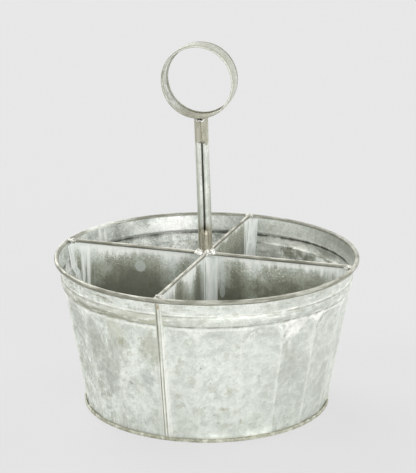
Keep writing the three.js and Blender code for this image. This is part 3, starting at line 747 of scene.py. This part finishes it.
def weathered_zinc(name, along, ends, stains, marks, curtain, shift):
    """Panel zinc: white runs under the hem, olive dirt lower down that also stands for painted shade
    deep in the compartments, painted light just under the hem, a hem with a painted highlight on its
    crown and painted shade beneath it, and bright tinning at the joints.

    along is the axis that the panel runs on. Each of the ends is where the wiped solder starts
    and stops on it, how far it fades out, and from what height. Each of the stains is the middle
    and the half width of an upright stain, how dark it is, and how far white runs over it. Each
    of the marks is the middle and the reach of a round mark that a drop has left, and how it is
    squashed. curtain is how much the dirt hangs down in stripes."""
    finish, place = start_finish(name)
    run, height, tab = place.axis(along), place.axis("Z"), place.marked("tab")
    streak = grain(place, 0.003, stretch=(1, 1, 0.1), detail=6.0, rough=0.65, shift=shift)
    curtains = grain(place, 0.0045, stretch=(1, 1, 0.09), rough=0.55, shift=shift + 2)
    cloud = grain(place, 0.014, detail=5.0, rough=0.6, shift=shift + 4)
    fine = grain(place, 0.0016, detail=6.0, rough=0.78, shift=shift + 5)
    spatter = grain(place, 0.0013, detail=4.0, rough=0.65, shift=shift + 6) + cloud * 0.35
    rub = grain(place, 0.003, stretch=(0.14, 0.14, 1), detail=6.0, rough=0.7, shift=shift + 8)
    stripes = grain(place, 0.0022, stretch=(1, 1, 0.05), detail=4.0, rough=0.6, shift=shift + 9)
    heavy = run.between(-0.002, -0.015)
    # Darker towards the bottom: olive dirt, and painted shade deep in the compartments.
    soil_and_shade = (0.122 - height) * 20 + heavy * (0.1005 - height) * 8 + (cloud - 0.5) * 1.35
    soil_and_shade = soil_and_shade + (streak - 0.5) * curtain + (fine - 0.5) * 1.25
    run_down = height.between(0.092, 0.1115) + (curtains - 0.5) * 1.5 + (cloud - 0.5) * 1.2
    for middle, half, dark, white in stains:
        bent = run - middle + (streak - 0.5) * 0.012 + (cloud - 0.5) * 0.01
        near = bent.maths("ABSOLUTE", bent, 0.0).between(half, 0.2 * half)
        soil_and_shade = soil_and_shade + near * height.between(0.112, 0.108) * dark
        run_down = run_down + near * white
    dirt = soil_and_shade.ramp(
        (0.0, (230, 235, 230)),
        (0.2, (207, 212, 205)),
        (0.4, (167, 172, 158)),
        (0.6, (140, 143, 125)),
        (0.82, (107, 108, 86)),
        (1.0, (88, 88, 67)),
    )
    white = run_down.between(0.52, 1.02) * (streak.between(0.3, 0.6) * 0.4 + 0.55)
    # Painted light just under the hem.
    painted_light_under_hem = height.between(0.106, 0.109) * soil_and_shade.between(0.65, 0.5)
    spattered = height.between(0.092, 0.104) * spatter.between(0.77, 0.81)
    colour, tone = mottled_zinc(place, (226, 232, 229), (190, 196, 191), (150, 151, 126), shift)
    colour = colour.paint(
        (dirt, 0.85),
        ((250, 253, 250), white),
        ((252, 254, 250), painted_light_under_hem * streak.between(0.3, 0.5) * 0.7),
        ((250, 250, 238), spattered * 0.85),
    )
    for middle, reach, squash in marks:
        mark = blot(place, middle, reach, squash, 0.12)
        colour = colour.paint(((197, 204, 198), mark * 0.7))
    for start, stop, fade, low in ends:
        way = 1 if stop > start else -1
        past = (run - stop) * way
        band = ((run - start) * way).between(-0.0004, 0.0004)
        wiped = band * past.between(0.0006, 0.0)
        faded = band * past.between(fade, 0.0) * height.between(low, low + 0.014)
        colour = colour.paint(
            ((232, 238, 234), faded * stripes.between(0.35, 0.6) * 0.8),
            ((250, 253, 250), wiped * stripes.between(0.4, 0.58) * 0.85),
            ((252, 254, 250), past.between(-0.002, -0.001) * wiped * 0.8),
        )
    crown_wear_and_highlight = height.between(HEM_TOP - 0.0006, HEM_TOP - 0.0001)
    shade_under_roll = height.between(HEM_TOP - 0.0016, HEM_TOP - 0.0026)
    hem = rub.ramp((0.34, (102, 102, 88)), (0.5, (134, 134, 121)), (0.64, (176, 176, 164)))
    # The hem: a painted highlight, with wear, on its crown, and painted shade under the roll.
    hem = hem.paint(
        ((214, 212, 200), crown_wear_and_highlight * rub.between(0.38, 0.56) * 0.7),
        ((66, 65, 54), shade_under_roll * 0.85),
    )
    colour = colour.paint(
        (streak.ramp((0.38, (222, 229, 225)), (0.56, (253, 255, 253))), tab * 0.95),
        (hem, height.between(HEM_TOP - 0.0033, HEM_TOP - 0.0027)),
    )
    coat(finish, colour, 0.55 - tone * 0.14, 0.12 - tab * 0.12, tone + streak * 0.5, 0.0002)
    return finish


long_panel = divider(LONG_STEPS, long_point, {-1: long_tab(-1), 1: long_tab(1)}, 0.3)
long_zinc = weathered_zinc(
    "long panel zinc",
    "X",
    [
        (-0.109, -0.0935, 0.006, 0.0),
        (-0.002, -0.003, 0.02, 0.0),
        (0.006, 0.0075, 0.013, 0.082),
        (0.109, 0.099, 0.014, 0.0),
    ],
    [
        (0.021, 0.01, 0.26, -0.5),
        (0.033, 0.01, -0.2, 0.0),
        (-0.053, 0.028, 0.2, -0.1),
        (-0.087, 0.013, -0.12, 0.0),
        (-0.029, 0.013, -0.36, 0.0),
        (-0.014, 0.014, 0.15, -0.2),
        (0.055, 0.045, 0.09, -0.12),
        (0.086, 0.018, 0.1, 0.12),
    ],
    [
        ((-0.053, CROSS_Y, 0.097), 0.0043, (1, 0, 1)),
        ((0.0116, CROSS_Y, 0.0835), 0.0021, (1, 0, 0.45)),
    ],
    curtain=0.3,
    shift=11.0,
)
add_piece("long_panel", long_panel, long_zinc, "long_divider")
front_zinc = weathered_zinc(
    "front panel zinc",
    "Y",
    [(-0.109, -0.09, 0.014, 0.0), (0.002, -0.003, 0.012, 0.0)],
    [(-0.018, 0.007, 0.4, -0.35), (-0.06, 0.012, 0.5, -0.4), (-0.036, 0.012, -0.2, 0.4)],
    [((CROSS_X, -0.07, 0.08), 0.003, (0, 1, 0.6))],
    curtain=0.8,
    shift=21.0,
)
add_piece("front_panel", short_divider(-1, 1.7), front_zinc, "front_divider")
back_zinc = weathered_zinc(
    "back panel zinc",
    "Y",
    [(0.109, 0.0975, 0.004, 0.0), (0.002, 0.006, 0.01, 0.0)],
    [(0.06, 0.08, 0.31, -0.6)],
    [((CROSS_X, 0.05, 0.07), 0.0035, (0, 1, 0.7))],
    curtain=0.35,
    shift=31.0,
)
add_piece("back_panel", short_divider(1, 2.9), back_zinc, "back_divider")

# Handle stem. A strip of sheet rolled into a tube, its two edges turned in along a slit that faces
# the front. The slit's corners are snipped at both ends. The stem stands astride the crossed hems
# and leans and turns a little, as it was soldered.
STEM_RADIUS = 0.0051
STEM_LENGTH = 0.1018
STEM_LIP = 0.0013
STEM_SLIT = 0.0009
STEM_SADDLE = 0.0022
SHUT_OVER, SHUT_UNDER = 0.081, 0.014
STEM_STEPS = 120
NOTCH_WIDTH = 0.0036
NOTCH_HEIGHT = 0.003
RING_RADIUS = 0.0267
RING_HEIGHT = STEM_LENGTH + RING_RADIUS
HANDLE_LEAN, HANDLE_TURN = math.radians(2.1), math.radians(6)
HANDLE_PLACE = (
    Matrix.Translation((CROSS_X, CROSS_Y - HEM_OUT, HEM_TOP))
    @ Matrix.Rotation(-HANDLE_LEAN, 4, "Y")
    @ Matrix.Rotation(HANDLE_TURN, 4, "Z")
)


def notch(across, front):
    """How far the slit's corners are snipped back."""
    return NOTCH_HEIGHT * max(0.0, 1 - 2 * abs(across) / NOTCH_WIDTH) if front < 0 else 0.0


def under_ring(across):
    """Height of the ring's underside."""
    return RING_HEIGHT - math.sqrt(RING_RADIUS**2 - across**2)


def slit_turn(height):
    """How far the slit has wandered round the stem, to the right, at a height."""
    return math.radians(5 + 7 * smooth(height, 0.0, 0.04) - 12 * smooth(height, 0.084, 0.101))


lip_x = STEM_SLIT / 2 + STEM_LIP
lip_y = -math.sqrt((STEM_RADIUS - STEM_LIP) ** 2 - lip_x**2)
lip_turn = math.atan2(lip_y, lip_x)
stem_path = [
    *arc((lip_x, lip_y), STEM_LIP, math.radians(-225), lip_turn, 9)[:-1],
    *arc((0, 0), STEM_RADIUS, lip_turn, math.pi - lip_turn, 40),
    *arc((-lip_x, lip_y), STEM_LIP, math.pi - lip_turn, math.radians(405), 9)[1:],
]
shut_turns = span(math.radians(-89.7), math.radians(269.7), len(stem_path) - 1)
stem_turns = {(round(x, 7), round(y, 7)): turn for (x, y), turn in zip(stem_path, shut_turns)}
stem = sweep([(x, y, 0) for x, y in stem_path], STEM_STEPS, dvec=(0, 0, 1 / STEM_STEPS))
stem_snip = stem.verts.layers.float.new("snip")
stem_shaded_flank = stem.verts.layers.float.new("flank")
for vertex in stem.verts:
    x, y, share = vertex.co
    over_long = smooth(abs(y), HEM_RADIUS + 0.0005, HEM_RADIUS)
    over_short = smooth(abs(x - HEM_OUT), HEM_RADIUS + 0.0005, HEM_RADIUS)
    low = -STEM_SADDLE * (1 - max(over_long, over_short)) + notch(x, y)
    high = under_ring(x) - notch(x, y)
    height = low + (high - low) * share
    at_end = abs(share - 0.5) > 0.5 - 0.5 / STEM_STEPS
    vertex[stem_snip] = 1.0 if at_end and notch(x, y) > 0.0003 else 0.0
    pinched = 0.8 * smooth(noise.noise(Vector((0.5, 0.5, height / 0.009))), 0.25, 0.5)
    shut = max(
        smooth(height, SHUT_OVER, SHUT_OVER + 0.003),
        smooth(height, SHUT_UNDER + 0.006, SHUT_UNDER),
        0.4 * smooth(height, 0.04, 0.075),
        pinched * smooth(math.hypot(x, y + STEM_RADIUS), 0.004, 0.002),
    )
    turn = stem_turns[round(x, 7), round(y, 7)]
    vertex[stem_shaded_flank] = smooth(math.cos(turn + math.radians(81)), 0.55, 0.1)
    x += (STEM_RADIUS * math.cos(turn) - x) * shut
    y += (STEM_RADIUS * math.sin(turn) - y) * shut
    vertex.co = Matrix.Rotation(slit_turn(height), 3, "Z") @ Vector((x, y, height))
bmesh.ops.solidify(stem, geom=stem.faces[:], thickness=SHEET)
bmesh.ops.transform(stem, verts=stem.verts, matrix=HANDLE_PLACE)

stem_zinc, place = start_finish("stem zinc")
height, snip, flank = place.axis("Z"), place.marked("snip"), place.marked("flank")
colour, tone = mottled_zinc(place, (214, 218, 210), (178, 182, 173), (160, 160, 138), 41.0)
drawn = grain(place, 0.0016, stretch=(1, 1, 0.05), detail=5.0, rough=0.65, shift=43.0)
tongue = grain(place, 0.0045, stretch=(1, 1, 0.1), shift=44.0).between(0.3, 0.7)
burnt = (height - tongue * 0.007).between(0.133, 0.1265)
burnt_colour = drawn.ramp((0.36, (191, 188, 173)), (0.5, (156, 151, 132)), (0.62, (122, 116, 97)))
dipped = (height - tongue * 0.004).between(0.1945, 0.1953)
dipped_colour = (drawn + tone * 0.2).ramp(
    (0.46, (178, 177, 162)), (0.6, (156, 154, 138)), (0.75, (130, 127, 109))
)
fleck = grain(place, 0.0012, detail=2.0, shift=46.0).between(0.68, 0.71)
colour = colour.paint(
    ((166, 168, 154), drawn.between(0.54, 0.66) * 0.5),
    ((246, 250, 248), drawn.between(0.44, 0.36) * 0.6),
    # Painted shade down the stem's right flank.
    ((140, 142, 126), flank * (drawn.between(0.35, 0.6) * 0.4 + 0.35)),
    (burnt_colour, burnt * 0.95),
    (dipped_colour, dipped * 0.95),
    ((244, 243, 234), fleck * burnt * 0.9),
    ((250, 250, 246), snip * 0.95),
)
coat(stem_zinc, colour, 0.44 - tone * 0.14, 0.55, tone + drawn, 0.00012, shine=0.3)
add_piece("stem", stem, stem_zinc, "handle_stem")

# Handle ring. A band of sheet bent into a hoop, both edges hemmed to the inside so that it does
# not cut the fingers. Its ends meet over the stem.
RING_WIDTH = 0.018
RING_HEM = 0.0008
RING_CROWN = 0.0001
RING_STEPS = 144
hem_radius, hem_side = RING_RADIUS - RING_HEM, RING_WIDTH / 2 - RING_HEM
band_path = [
    *arc((hem_radius, -hem_side), RING_HEM, math.radians(-285), 0, 13),
    *[
        (RING_RADIUS + RING_CROWN * (1 - (side / hem_side) ** 2), side)
        for side in span(-hem_side, hem_side, 18)[1:-1]
    ],
    *arc((hem_radius, hem_side), RING_HEM, 0, math.radians(285), 13),
]
points = [(0, side, -radius) for radius, side in band_path]
ring = sweep(points, RING_STEPS, axis=(0, 1, 0), angle=math.tau, use_merge=True)
bmesh.ops.reverse_faces(ring, faces=ring.faces)
ring_edge = ring.verts.layers.float.new("edge")
for vertex in ring.verts:
    vertex[ring_edge] = smooth(abs(vertex.co.y), hem_side - 0.0014, hem_side - 0.0004)
    radius = math.hypot(vertex.co.x, vertex.co.z)
    near_stem = smooth(radius - vertex.co.z, radius * 1.95, radius * 1.7)
    share = 1 + dent(vertex.co, 0.02, 0.0005) * near_stem / radius
    vertex.co = Vector((vertex.co.x * share, vertex.co.y, vertex.co.z * share + RING_HEIGHT))
bmesh.ops.solidify(ring, geom=ring.faces[:], thickness=SHEET)
ring_outside = ring.verts.layers.float.new("outside")
ring_hem_shade = ring.verts.layers.float.new("line")
ring_hem_highlight = ring.verts.layers.float.new("hem_highlight")
ring.normal_update()
# The dark lines beside the hems are painted shade and the hems' edge faces carry a painted highlight,
# the shade stronger and the highlight weaker to the left.
for vertex in ring.verts:
    outward = Vector((vertex.co.x, 0, vertex.co.z - RING_HEIGHT)).normalized()
    facing = vertex.normal.dot(outward)
    aside = abs(vertex.co.y) - hem_side
    far = vertex.co.y > 0
    shaded_left = smooth(vertex.co.x, 0.004, -0.014)
    if far:
        outer_line = smooth(aside, -0.0024, -0.0018)
    else:
        outer_line = smooth(aside, -0.0005, 0.0) * (0.3 + 0.5 * shaded_left)
    outer_line *= smooth(facing, 0.05, 0.35)
    inner_line = smooth(facing, -0.2, -0.5) * smooth(aside, -0.0019, -0.0013)
    vertex[ring_outside] = smooth(facing, 0.2, 0.6)
    vertex[ring_hem_shade] = max(outer_line, (0.55 if far else 0.35) * inner_line)
    hem_highlight = smooth(abs(vertex.normal.y), 0.55, 0.8) * smooth(aside, 0.0, 0.0003)
    vertex[ring_hem_highlight] = hem_highlight * (1 - 0.6 * shaded_left)
bmesh.ops.transform(ring, verts=ring.verts, matrix=HANDLE_PLACE)

ring_zinc, place = start_finish("ring zinc")
edge, outside, line, hem_highlight = (place.marked(mark) for mark in ("edge", "outside", "line", "hem_highlight"))
colour, tone = mottled_zinc(
    place, (202, 204, 197), (164, 166, 157), (146, 144, 120), 51.0, stained=0.6
)
dull = grain(place, 0.01, detail=6.0, rough=0.66, shift=52.0).between(0.5, 0.62)
bluish = grain(place, 0.008, detail=5.0, rough=0.6, shift=52.6).between(0.5, 0.62)
shade = blot(place, (-0.029, -0.001, 0.231), 0.01, (1, 0.6, 1), 0.6, 1.6)
worn = grain(place, 0.003, detail=6.0, rough=0.7, shift=53.0)
hem_colour = worn.ramp((0.36, (132, 133, 117)), (0.5, (168, 169, 156)), (0.64, (208, 209, 200)))
rubs = grain(place, 0.0014, stretch=(1, 1, 0.12), turn=40, shift=54.0).between(0.6, 0.66)
# Painted shade on the ring's outer edge at the left.
edge_shade_spot = blot(place, (-0.032, -0.0085, 0.2476), 0.0034, (1, 1, 0.7), 0.4, 1.4)
burnt = (place.axis("Z") + worn * 0.006).between(0.2275, 0.219)
colour = colour.paint(
    ((158, 159, 150), dull * 0.55),
    ((226, 231, 231), bluish * 0.3),
    ((146, 148, 141), shade * (dull * 0.3 + 0.35)),
    (hem_colour, edge * 0.85),
    ((238, 238, 226), rubs * (1 - edge) * 0.6),
    ((156, 156, 141), outside * (worn.between(0.35, 0.6) * 0.35 + 0.3)),
    # Painted shade beside the hems, then a painted highlight on their edge faces.
    ((98, 99, 82), line * (worn.between(0.36, 0.56) * 0.3 + 0.6)),
    ((212, 213, 202), hem_highlight * (worn.between(0.36, 0.5) * 0.4 + 0.35)),
    ((118, 118, 96), edge_shade_spot * 0.75),
    ((132, 129, 111), burnt * 0.76),
)
coat(ring_zinc, colour, 0.56 - tone * 0.14, 0.15, tone, 0.00015, shine=0.15)
add_piece("ring", ring, ring_zinc, "handle_ring")

# Solder. Soft tin-lead that was melted over each joint with an iron and set in small lumps: round
# the foot of the stem, under the ring, and on the four hem ends at the rim.
HUB_TOP, HUB_FOOT = 0.0034, -0.0016
HUB_SPREAD, HUB_DROP = 0.0027, 0.0044
SOLDER_IN, SOLDER_EDGE = 0.0001, 0.0002
PLUG_RADIUS = STEM_RADIUS - SHEET - 0.0002
PLUG_TOP, PLUG_FOOT = 0.0024, 0.0002
NECK_SPREAD = 0.0014
TACK_REACH, TACK_WIDTH, TACK_HEIGHT = 0.003, 0.0027, 0.0017
TACK_INSET, TACK_DROP = 0.0022, 0.0018
solder_metal, place = start_finish("solder")
tone = grain(place, 0.0014, detail=4.0, shift=60.0).between(0.32, 0.66)
pit = grain(place, 0.0011, detail=2.0, shift=62.0).between(0.66, 0.72)
colour = tone.ramp((0.0, (150, 148, 138)), (0.45, (212, 211, 203)), (1.0, (240, 240, 234)))
colour = colour.paint(((92, 86, 74), pit * 0.8))
coat(solder_metal, colour, 0.42 - tone * 0.12, 0.6, tone, 0.0003)


def collar(path, steps=96):
    """A closed ring of solder round the stem."""
    lump = lathe(path + path[:1], steps)
    bmesh.ops.recalc_face_normals(lump, faces=lump.faces)
    return lump


def add_solder(name, lump, node, place=Matrix()):
    """Puts a lump of solder in its place on the caddy."""
    bmesh.ops.transform(lump, verts=lump.verts, matrix=place)
    add_piece(name, lump, solder_metal, node, crease=80)


hub = collar(
    [
        (STEM_RADIUS - SOLDER_IN, HUB_TOP),
        *[
            (STEM_RADIUS + SOLDER_EDGE + HUB_SPREAD * share**1.6, HUB_TOP - HUB_DROP * share)
            for share in span(0.0, 1.0, 14)
        ],
        (STEM_RADIUS + HUB_SPREAD, HUB_FOOT + 0.0002),
        (STEM_RADIUS + 0.0014, HUB_FOOT),
        (STEM_RADIUS - SOLDER_IN, HUB_FOOT),
    ]
)
for vertex in hub.verts:
    x, y, height = vertex.co
    angle = math.atan2(y, x)
    radius = math.hypot(x, y)
    arms = abs(math.cos(2 * angle)) ** 1.5
    front = max(0.0, 1 - abs(angle + math.pi / 2) / 0.45)
    lumps = noise.noise(vertex.co / 0.0022) + 0.5 * noise.noise(vertex.co / 0.0009)
    spread = smooth(radius, STEM_RADIUS, STEM_RADIUS + 0.002)
    reach = (radius - STEM_RADIUS) * (0.72 + 0.58 * arms) + 0.0009 * lumps * spread
    share = (STEM_RADIUS + reach) / radius
    tall = 0.75 + 0.6 * noise.noise(Vector((math.cos(angle), math.sin(angle), 3.0)) * 2.2)
    tall *= 1 - 0.4 * front
    vertex.co = Vector((x * share, y * share, height * tall if height > 0 else height))
add_solder("hub_solder", hub, "cross_solder", HANDLE_PLACE)

plug_path = [
    (0.0, PLUG_TOP),
    (0.0024, PLUG_TOP - 0.0002),
    (PLUG_RADIUS, PLUG_TOP - 0.0006),
    (PLUG_RADIUS, PLUG_FOOT),
    (0.0, PLUG_FOOT),
]
add_solder("hub_plug", collar(plug_path, 48), "cross_solder", HANDLE_PLACE)

neck = collar(
    [
        (STEM_RADIUS - SOLDER_IN, 0.0),
        (STEM_RADIUS + SOLDER_EDGE, 0.0),
        *[(STEM_RADIUS + SOLDER_EDGE + NECK_SPREAD * share**2, share) for share in span(0.15, 1.0, 8)],
        (STEM_RADIUS - SOLDER_IN, 1.0),
    ]
)
for vertex in neck.verts:
    x, y, share = vertex.co
    lumps = noise.noise(Vector((x, y, share * 0.003)) / 0.002)
    radius = math.hypot(x, y)
    spread = 1 + 0.0006 * lumps * smooth(radius, STEM_RADIUS, STEM_RADIUS + 0.0008) / radius
    high = under_ring(x) - 0.0001
    low = high - 0.0012 - 0.001 * noise.noise(Vector((x, y, 0)) / 0.004)
    if y < 0:
        low += (high - low) * 0.8 * smooth(abs(x), 0.0018, 0.0008)
    vertex.co = Vector((x * spread, y * spread, low + (high - low) * share))
add_solder("neck_solder", neck, "ring_solder", HANDLE_PLACE)

long_hem, short_hem = CROSS_Y - HEM_OUT, CROSS_X + HEM_OUT
for name, out, aside, seed in [
    ("left", Vector((-1, 0, 0)), long_hem, 1.0),
    ("right", Vector((1, 0, 0)), long_hem, 2.0),
    ("front", Vector((0, -1, 0)), short_hem, 3.0),
    ("back", Vector((0, 1, 0)), short_hem, 4.0),
]:
    tack = bmesh.new()
    bmesh.ops.create_icosphere(tack, subdivisions=5, radius=1.0)
    along = Vector((-out.y, out.x, 0))
    middle = out * (math.sqrt(UNDER_RIM**2 - aside**2) - TACK_INSET)
    middle += Vector((abs(along.x), abs(along.y), 0)) * aside + Vector((0, 0, HEM_TOP - TACK_DROP))
    for vertex in tack.verts:
        spot = vertex.co.copy()
        lumps = noise.noise(spot * 1.3 + Vector((seed, 0, 0))) * 0.5
        lumps += noise.noise(spot * 3.1 + Vector((0, seed, 0))) * 0.3
        spot *= 1 + lumps
        vertex.co = middle + out * spot.x * TACK_REACH + along * spot.y * TACK_WIDTH
        vertex.co.z += spot.z * TACK_HEIGHT
    add_solder(name + "_tack", tack, name + "_end_solder")

# Floor, light and camera. The caddy stands on a wide sheet of pale paper, which glows evenly for
# the camera. A low softbox at the front right and three higher ones round the rest light it.
BACKDROP = tint((229, 229, 229))
FLOOR_REACH = 6.0
GLOW, GLOW_SHARE = 0.93, 0.85
floor_mesh = bmesh.new()
bmesh.ops.create_grid(floor_mesh, x_segments=1, y_segments=1, size=FLOOR_REACH)
floor_data = bpy.data.meshes.new("floor")
floor_mesh.to_mesh(floor_data)
floor_mesh.free()
floor = bpy.data.objects.new("floor", floor_data)
bpy.context.scene.collection.objects.link(floor)
floor_finish = bpy.data.materials.new("floor")
floor_finish.use_nodes = True
shader = floor_finish.node_tree.nodes["Principled BSDF"]
shader.inputs["Base Color"].default_value = BACKDROP
shader.inputs["Roughness"].default_value = 0.9
paper = Channel(shader.outputs[0])
seen = paper.node("LightPath", {}, output="Is Camera Ray")
glow = paper.node("Emission", {"Color": BACKDROP, "Strength": GLOW})
mixed = paper.node("MixShader", {0: seen * GLOW_SHARE, 1: paper, 2: glow})
mixed.feed(floor_finish.node_tree.nodes["Material Output"].inputs["Surface"], mixed)
floor_data.materials.append(floor_finish)

SKY, SKY_ABOVE = 0.46, 0.1
SOFTNESS = math.radians(40)
world = bpy.data.worlds.new("studio")
bpy.context.scene.world = world
world.use_nodes = True
sky = world.node_tree.nodes["Background"]
sky.inputs["Color"].default_value = (1.0, 1.0, 1.0, 1.0)
toward = Channel(world.node_tree.nodes.new("ShaderNodeTexCoord").outputs["Generated"])
light = SKY + toward.axis("Z").between(0.0, 1.0) * SKY_ABOVE
light.feed(sky.inputs["Strength"], light)
for name, turn, rise, strength in [
    ("front right softbox", -45, 14, 1.82),
    ("left softbox", -150, 35, 1.2),
    ("back left softbox", 135, 35, 2.0),
    ("back right softbox", 45, 35, 1.2),
]:
    softbox = bpy.data.lights.new(name, "SUN")
    softbox.energy = strength
    softbox.angle = SOFTNESS
    lamp = bpy.data.objects.new(name, softbox)
    way = Matrix.Rotation(math.radians(turn), 3, "Z") @ Matrix.Rotation(math.radians(-rise), 3, "Y")
    lamp.rotation_euler = (way @ Vector((1, 0, 0))).to_track_quat("Z", "Y").to_euler()
    bpy.context.scene.collection.objects.link(lamp)

EYE_PLACE = (0.4329, -1.3077, 0.5369)
EYE_WAY = Vector((-0.3005, 0.9098, -0.2862))
EYE_LENS, EYE_WIDTH = 148.7, 36
eye = bpy.data.cameras.new("camera")
eye.lens = EYE_LENS
eye.sensor_width = EYE_WIDTH
camera = bpy.data.objects.new("camera", eye)
camera.location = EYE_PLACE
camera.rotation_euler = EYE_WAY.to_track_quat("-Z", "Y").to_euler()
bpy.context.scene.collection.objects.link(camera)
bpy.context.scene.camera = camera
bpy.context.scene.view_settings.view_transform = "Standard"

bpy.context.view_layer.update()
